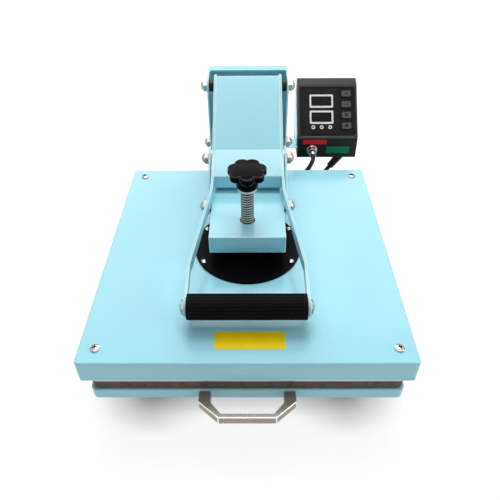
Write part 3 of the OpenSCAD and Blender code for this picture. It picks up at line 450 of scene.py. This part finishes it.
def disc_stack(bm, m, prof, seg=48, index=STEEL):
    """A turned solid from [radius, height] steps, its faces in the material slot index."""
    rings = []
    for r, z in prof:
        rings.append([bm.verts.new(m @ Vector((r * math.cos(2 * math.pi * k / seg),
                                               r * math.sin(2 * math.pi * k / seg), z))) for k in range(seg)])
    for a, b in zip(rings, rings[1:]):
        for k in range(seg):
            bm.faces.new((a[k], a[(k + 1) % seg], b[(k + 1) % seg], b[k])).material_index = index
    bm.faces.new(list(reversed(rings[0]))).material_index = index
    bm.faces.new(rings[-1]).material_index = index


bm = bmesh.new()
axis = Matrix.Translation(at(0, 0, 0))
disc_stack(bm, axis, [(0.0088, 0.1622), (0.0138, 0.1622), (0.014, 0.1625), (0.014, 0.1655), (0.0138, 0.1658),
                      (0.0088, 0.1658)])
# The core between the threads in the dark copy of the steel: painted shade
disc_stack(bm, axis, [(CORE_R, 0.1656), (CORE_R, 0.2595)], index=SHADE_SLOT)
thread_bar(bm, axis, THREAD_R, ROOT_R, 0.168, 0.2627, THREAD_PITCH)
disc_stack(bm, axis, [(0.0122, 0.259), (0.013, 0.2596), (0.013, 0.2624), (0.0122, 0.263)])
disc_stack(bm, axis, [(THREAD_R, 0.2628), (THREAD_R, 0.286), (0.0085, 0.287)])
screw = mesh_piece("threaded_screw", bm, turned, "spindle", 35)
screw.data.materials.append(painted_shade_steel)
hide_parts("pressure_screw")


# Panel print and key marks, placed in millimetres on the control panel

PANEL_TILT = math.radians(46)
PANEL_INSET = rounded_outline(0.066, 0.084, 0.004)
DISPLAY_X, DISPLAY_ROWS = -10.7, (68.3, 38.5)
DISPLAY_BEZEL = rounded_outline(0.0426, 0.0245, 0.0022)
DISPLAY_WINDOW = rounded_outline(0.0364, 0.0178, 0.0008)
LAMP_Y, LAMP_STEP = 20, 15.2
LAMP_RIM = rounded_outline(0.0068, 0.0068, 0.0033)
LAMP_HOLE = rounded_outline(0.0036, 0.0036, 0.0017)
KEY_X, KEY_Y, KEY_STEP, KEY_TOP = 34, 22.3, 19.8, 3.5
MARK, MARK_LINE, MARK_CORNER, MARK_ROUND = 0.005, 0.0012, 0.0003, 0.00249
MARK_T, MARK_EDGE = 0.00015, 0.0001
# Where two bars cross, one stands this much higher, so that no two faces share a plane
CROSS_STEP = 0.00001

panel = (Matrix.Translation(at(143, 250, 192)) @ Matrix.Rotation(PANEL_TILT, 4, "X")
         @ Matrix.Translation((0, 0, -0.0025)))


def on_panel(x, y, z=1.0):
    return panel @ Matrix.Translation((x / 1000, y / 1000, z / 1000))


bm = bmesh.new()
slab(bm, PANEL_INSET, 0, 0.0004, 0.0003, on_panel(-13, 49))
mesh_piece("panel_inset", bm, inset, "base")
bm = bmesh.new()
for y in DISPLAY_ROWS:
    frame_ring(bm, DISPLAY_BEZEL, DISPLAY_WINDOW, 0.0002, 0.0007, on_panel(DISPLAY_X, y))
for i in (-1, 0, 1):
    frame_ring(bm, LAMP_RIM, LAMP_HOLE, 0.0002, 0.0009, on_panel(DISPLAY_X + LAMP_STEP * i, LAMP_Y))
mesh_piece("panel_frames", bm, white, "base")
bm = bmesh.new()
for y in DISPLAY_ROWS:
    slab(bm, DISPLAY_WINDOW, 0.0002, 0.0006, 0.0001, on_panel(DISPLAY_X, y))
mesh_piece("display_glass", bm, glass, "base")

# Plain marks on the keys, from the top: plus, minus, ring, ring with a small hole
for key, row in {"up": 3, "down": 2, "set": 1, "start": 0}.items():
    bm = bmesh.new()
    m = on_panel(KEY_X, KEY_Y + KEY_STEP * row, KEY_TOP)
    if key in ("up", "down"):
        slab(bm, rounded_outline(MARK, MARK_LINE, MARK_CORNER, 2), 0, MARK_T, MARK_EDGE, m)
    if key == "up":
        slab(bm, rounded_outline(MARK_LINE, MARK, MARK_CORNER, 2), 0, MARK_T + CROSS_STEP, MARK_EDGE, m)
    if key in ("set", "start"):
        hole = 0.0026 if key == "set" else 0.001
        frame_ring(bm, rounded_outline(MARK, MARK, MARK_ROUND), rounded_outline(hole, hole, hole * 0.49),
                   0, MARK_T, m)
    mesh_piece("key_mark_" + key, bm, black_paint_and_shade, "key_" + key)


# Bare plates on the control case and the cover

PLATE_T, PLATE_EDGE = 0.0004, 0.0002
case_front = Matrix.Translation(at(143, 250, 151)) @ Matrix.Rotation(math.pi / 2, 4, "X")
for name, size, corner, place, mat, body, slot in [
        ("red_bare_plate", (0.0424, 0.009), 0.0008, case_front @ Matrix.Translation((-0.023, 0.0325, 0)),
         red, "base", "dark_plastic"),
        ("green_bare_plate", (0.0418, 0.014), 0.0008, case_front @ Matrix.Translation((0.0198, 0.016, 0)),
         green, "base", "dark_plastic"),
        ("yellow_bare_plate", (0.084, 0.026), 0.002, Matrix.Translation(at(3.4, -167.2, 157)),
         yellow, "platen", "paint")]:
    bm = bmesh.new()
    slab(bm, rounded_outline(*size, corner), 0, PLATE_T, PLATE_EDGE, place)
    mesh_piece(name, bm, mat, body)


# Cross recesses in the cover's screw heads, shown as black crosses: painted shade where the recesses are

COVER_SCREW, COVER_SCREW_TOP = 179, 160.9
CROSS, CROSS_LINE, CROSS_CORNER = 0.0054, 0.2 * 0.0054, 0.06 * 0.0054
CROSS_DEPTH, CROSS_PROUD, CROSS_EDGE = -0.0004, 0.00012, 0.00005

bm = bmesh.new()
for x in (-COVER_SCREW, COVER_SCREW):
    for y in (-COVER_SCREW, COVER_SCREW):
        m = Matrix.Translation(at(x, y, COVER_SCREW_TOP)) @ Matrix.Rotation(0.3 + x * y, 4, "Z")
        slab(bm, rounded_outline(CROSS, CROSS_LINE, CROSS_CORNER, 2), CROSS_DEPTH, CROSS_PROUD, CROSS_EDGE, m)
        slab(bm, rounded_outline(CROSS_LINE, CROSS, CROSS_CORNER, 2), CROSS_DEPTH, CROSS_PROUD + CROSS_STEP,
             CROSS_EDGE, m)
mesh_piece("cover_screw_recesses", bm, black_paint_and_shade, "platen")


# Coil tie, round the turns on the coil's left

TIE_OFF, TIE_Z, TIE_HALF = 41.5, 8.7, 0.004

bm = bmesh.new()
m = Matrix.Translation(at(COIL_X - TIE_OFF, COIL_Y, TIE_Z)) @ Matrix.Rotation(math.pi / 2, 4, "X")
frame_ring(bm, rounded_outline(0.0300, 0.0172, 0.004), rounded_outline(0.0288, 0.0160, 0.0036),
           -TIE_HALF, TIE_HALF, m)
tie = mesh_piece("coil_tie", bm, satin, "base")


# Eased edges: each copy stands for its node, with sharp edges rounded a little and the rounded faces in a
# paler edge material, as painted highlight lines

EASE_ROOM = 0.004
EASE_ANGLE = 0.6
FLAT_ANGLE = 0.01
MERGE = 0.000001
FOLD, HOOD_FOLD = 38, 4


def ease(name, width, body, slot, edge, leave=(), fold=FOLD):
    """Edges near the nodes named in leave stay as they are; folds over fold degrees shade as sharp."""
    src = nodes[name]
    rooms = [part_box(n) for n in leave]

    def open_edge(e):
        mid = (e.verts[0].co + e.verts[1].co) / 2
        return not any(all(lo[i] - EASE_ROOM < mid[i] < hi[i] + EASE_ROOM for i in range(3))
                       for lo, hi in rooms)

    bm = bmesh.new()
    bm.from_mesh(src.data)
    bmesh.ops.remove_doubles(bm, verts=bm.verts, dist=MERGE)
    bmesh.ops.dissolve_limit(bm, angle_limit=FLAT_ANGLE, verts=bm.verts, edges=bm.edges)
    sharp = [e for e in bm.edges
             if len(e.link_faces) == 2 and e.calc_face_angle(0) > EASE_ANGLE and open_edge(e)]
    cut = bmesh.ops.bevel(bm, geom=sharp, offset=width, offset_type="OFFSET", segments=2, profile=0.5,
                          affect="EDGES", clamp_overlap=False)
    # The rounded faces take the paler edge material: painted highlight
    for f in cut["faces"]:
        f.material_index = 1
    me = bpy.data.meshes.new(name + "_eased")
    bm.to_mesh(me)
    bm.free()
    me.materials.append(src.data.materials[0])
    me.materials.append(edge)
    o = bpy.data.objects.new(name + "_eased", me)
    scene.collection.objects.link(o)
    shade(me, fold)
    w = o.modifiers.new("normals", "WEIGHTED_NORMAL")
    w.keep_sharp = True
    w.weight = 100
    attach(o, body)
    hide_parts(name)


for name, width, body, slot, edge, extra in [
        ("mast", 0.0008, "base", "paint", paint_highlight_edge, {}),
        ("handle_hood", 0.0008, "handle", "paint", paint_highlight_edge, {"fold": HOOD_FOLD}),
        ("handle_sides", 0.0008, "handle", "paint", paint_highlight_edge, {}),
        ("arm_box", 0.0010, "arm", "paint", paint_highlight_edge, {}),
        ("arm_channel", 0.0008, "arm", "paint", paint_highlight_edge, {}),
        ("links", 0.0006, "link", "paint", paint_highlight_edge, {}),
        ("cover", 0.0008, "platen", "paint", paint_highlight_edge, {}),
        ("tray_shell", 0.0009, "tray", "paint", paint_highlight_edge, {}),
        ("control_bracket", 0.0008, "base", "paint", paint_highlight_edge, {}),
        ("pull_handle", 0.0010, "tray", "nickel", nickel_highlight_edge, {}),
        ("control_case", 0.0012, "base", "dark_plastic", satin_highlight_edge, {"leave": KEYS}),
        ("knob", 0.0012, "spindle", "dark_plastic", knob_highlight_rim, {})]:
    ease(name, width, body, slot, edge, **extra)


# Floor

FLOOR_LIT, FLOOR_SEEN = 0.9, 0.22
FLOOR_GLOW = 0.85
FLOOR_HALF = 6
SHADOW_REACH, SHADOW_DEPTH = 0.07, 3.5


def calc(tree, operation, a, b):
    """A Math node fed by the socket a and by b, a socket or a number."""
    n = tree.nodes.new("ShaderNodeMath")
    n.operation = operation
    tree.links.new(a, n.inputs[0])
    if isinstance(b, float):
        n.inputs[1].default_value = b
    else:
        tree.links.new(b, n.inputs[1])
    return n.outputs["Value"]


def seen_ray(tree):
    """1 on a ray from the camera or from a mirror or glass, 0 on a ray of light."""
    paths = tree.nodes.new("ShaderNodeLightPath")
    seen = paths.outputs["Is Camera Ray"]
    for ray in ("Is Glossy Ray", "Is Transmission Ray"):
        seen = calc(tree, "MAXIMUM", seen, paths.outputs[ray])
    return seen


floor_mat = material("pale_floor", (FLOOR_LIT,) * 3, 0.7, sheen=0.2)
floor_tree = floor_mat.node_tree
floor_tree.nodes["Principled BSDF"].inputs["Emission Color"].default_value = (1, 1, 1, 1)
seen = seen_ray(floor_tree)
to(floor_mat, ramp(floor_mat, seen, (0, (FLOOR_LIT,) * 3), (1, (FLOOR_SEEN,) * 3)), "Base Color")
# Near the object the floor's glow is dimmed by ambient occlusion: a painted shadow over the real one
near = floor_tree.nodes.new("ShaderNodeAmbientOcclusion")
near.samples = 16
near.inputs["Distance"].default_value = SHADOW_REACH
painted_floor_shadow = calc(floor_tree, "POWER", near.outputs["AO"], SHADOW_DEPTH)
to(floor_mat, calc(floor_tree, "MULTIPLY", span(floor_mat, seen, 0.0, FLOOR_GLOW), painted_floor_shadow), "Emission Strength")
bm = bmesh.new()
bmesh.ops.create_grid(bm, x_segments=2, y_segments=2, size=FLOOR_HALF)
me = bpy.data.meshes.new("floor")
bm.to_mesh(me)
bm.free()
me.materials.append(floor_mat)
floor = bpy.data.objects.new("floor", me)
scene.collection.objects.link(floor)


# World: fades out with height where it gives light, plain white where it is seen

WORLD_LIGHT, WORLD_SEEN = 0.57, 1.0
WORLD_FADE = [(0.25, 1.0), (0.6, 0.0)]

world = bpy.data.worlds.new("studio")
world.use_nodes = True
wt = world.node_tree
sky = wt.nodes.new("ShaderNodeTexCoord")
parts = wt.nodes.new("ShaderNodeSeparateXYZ")
tone = wt.nodes.new("ShaderNodeValToRGB")
for stop, (pos, level) in zip(tone.color_ramp.elements, WORLD_FADE):
    stop.position = pos
    stop.color = (level, level, level, 1)
wt.links.new(sky.outputs["Generated"], parts.inputs["Vector"])
wt.links.new(parts.outputs["Z"], tone.inputs["Fac"])
wt.links.new(tone.outputs["Color"], wt.nodes["Background"].inputs["Color"])
wt.nodes["Background"].inputs["Strength"].default_value = WORLD_LIGHT
pale = wt.nodes.new("ShaderNodeBackground")
pale.inputs["Color"].default_value = (1, 1, 1, 1)
pale.inputs["Strength"].default_value = WORLD_SEEN
both = wt.nodes.new("ShaderNodeMixShader")
wt.links.new(seen_ray(wt), both.inputs["Fac"])
wt.links.new(wt.nodes["Background"].outputs["Background"], both.inputs[1])
wt.links.new(pale.outputs["Background"], both.inputs[2])
wt.links.new(both.outputs["Shader"], wt.nodes["World Output"].inputs["Surface"])
scene.world = world


# Lamps, each with its place, aim, size and power

def area(name, loc, target, size, power):
    d = bpy.data.lights.new(name, "AREA")
    d.shape = "RECTANGLE"
    d.size, d.size_y = size
    d.energy = power
    o = bpy.data.objects.new(name, d)
    scene.collection.objects.link(o)
    o.location = loc
    o.rotation_euler = (Vector(target) - Vector(loc)).to_track_quat("-Z", "Y").to_euler()


area("overhead", (0, 0.3, 2.8), (0, 0, 0), (3.2, 2.8), 34)
area("strip", (0, 0.66, 2.8), (0, 0, 0.2), (1.2, 0.8), 20)
area("back", (0, 2.4, 2.2), (0, 0, 0.15), (3.0, 1.6), 37)
area("right", (2.4, -0.6, 1.6), (0, 0, 0.15), (1.4, 1.6), 19)
area("left", (-2.4, -0.6, 1.6), (0, 0, 0.15), (1.4, 1.6), 4)
scene.view_settings.view_transform = "Standard"
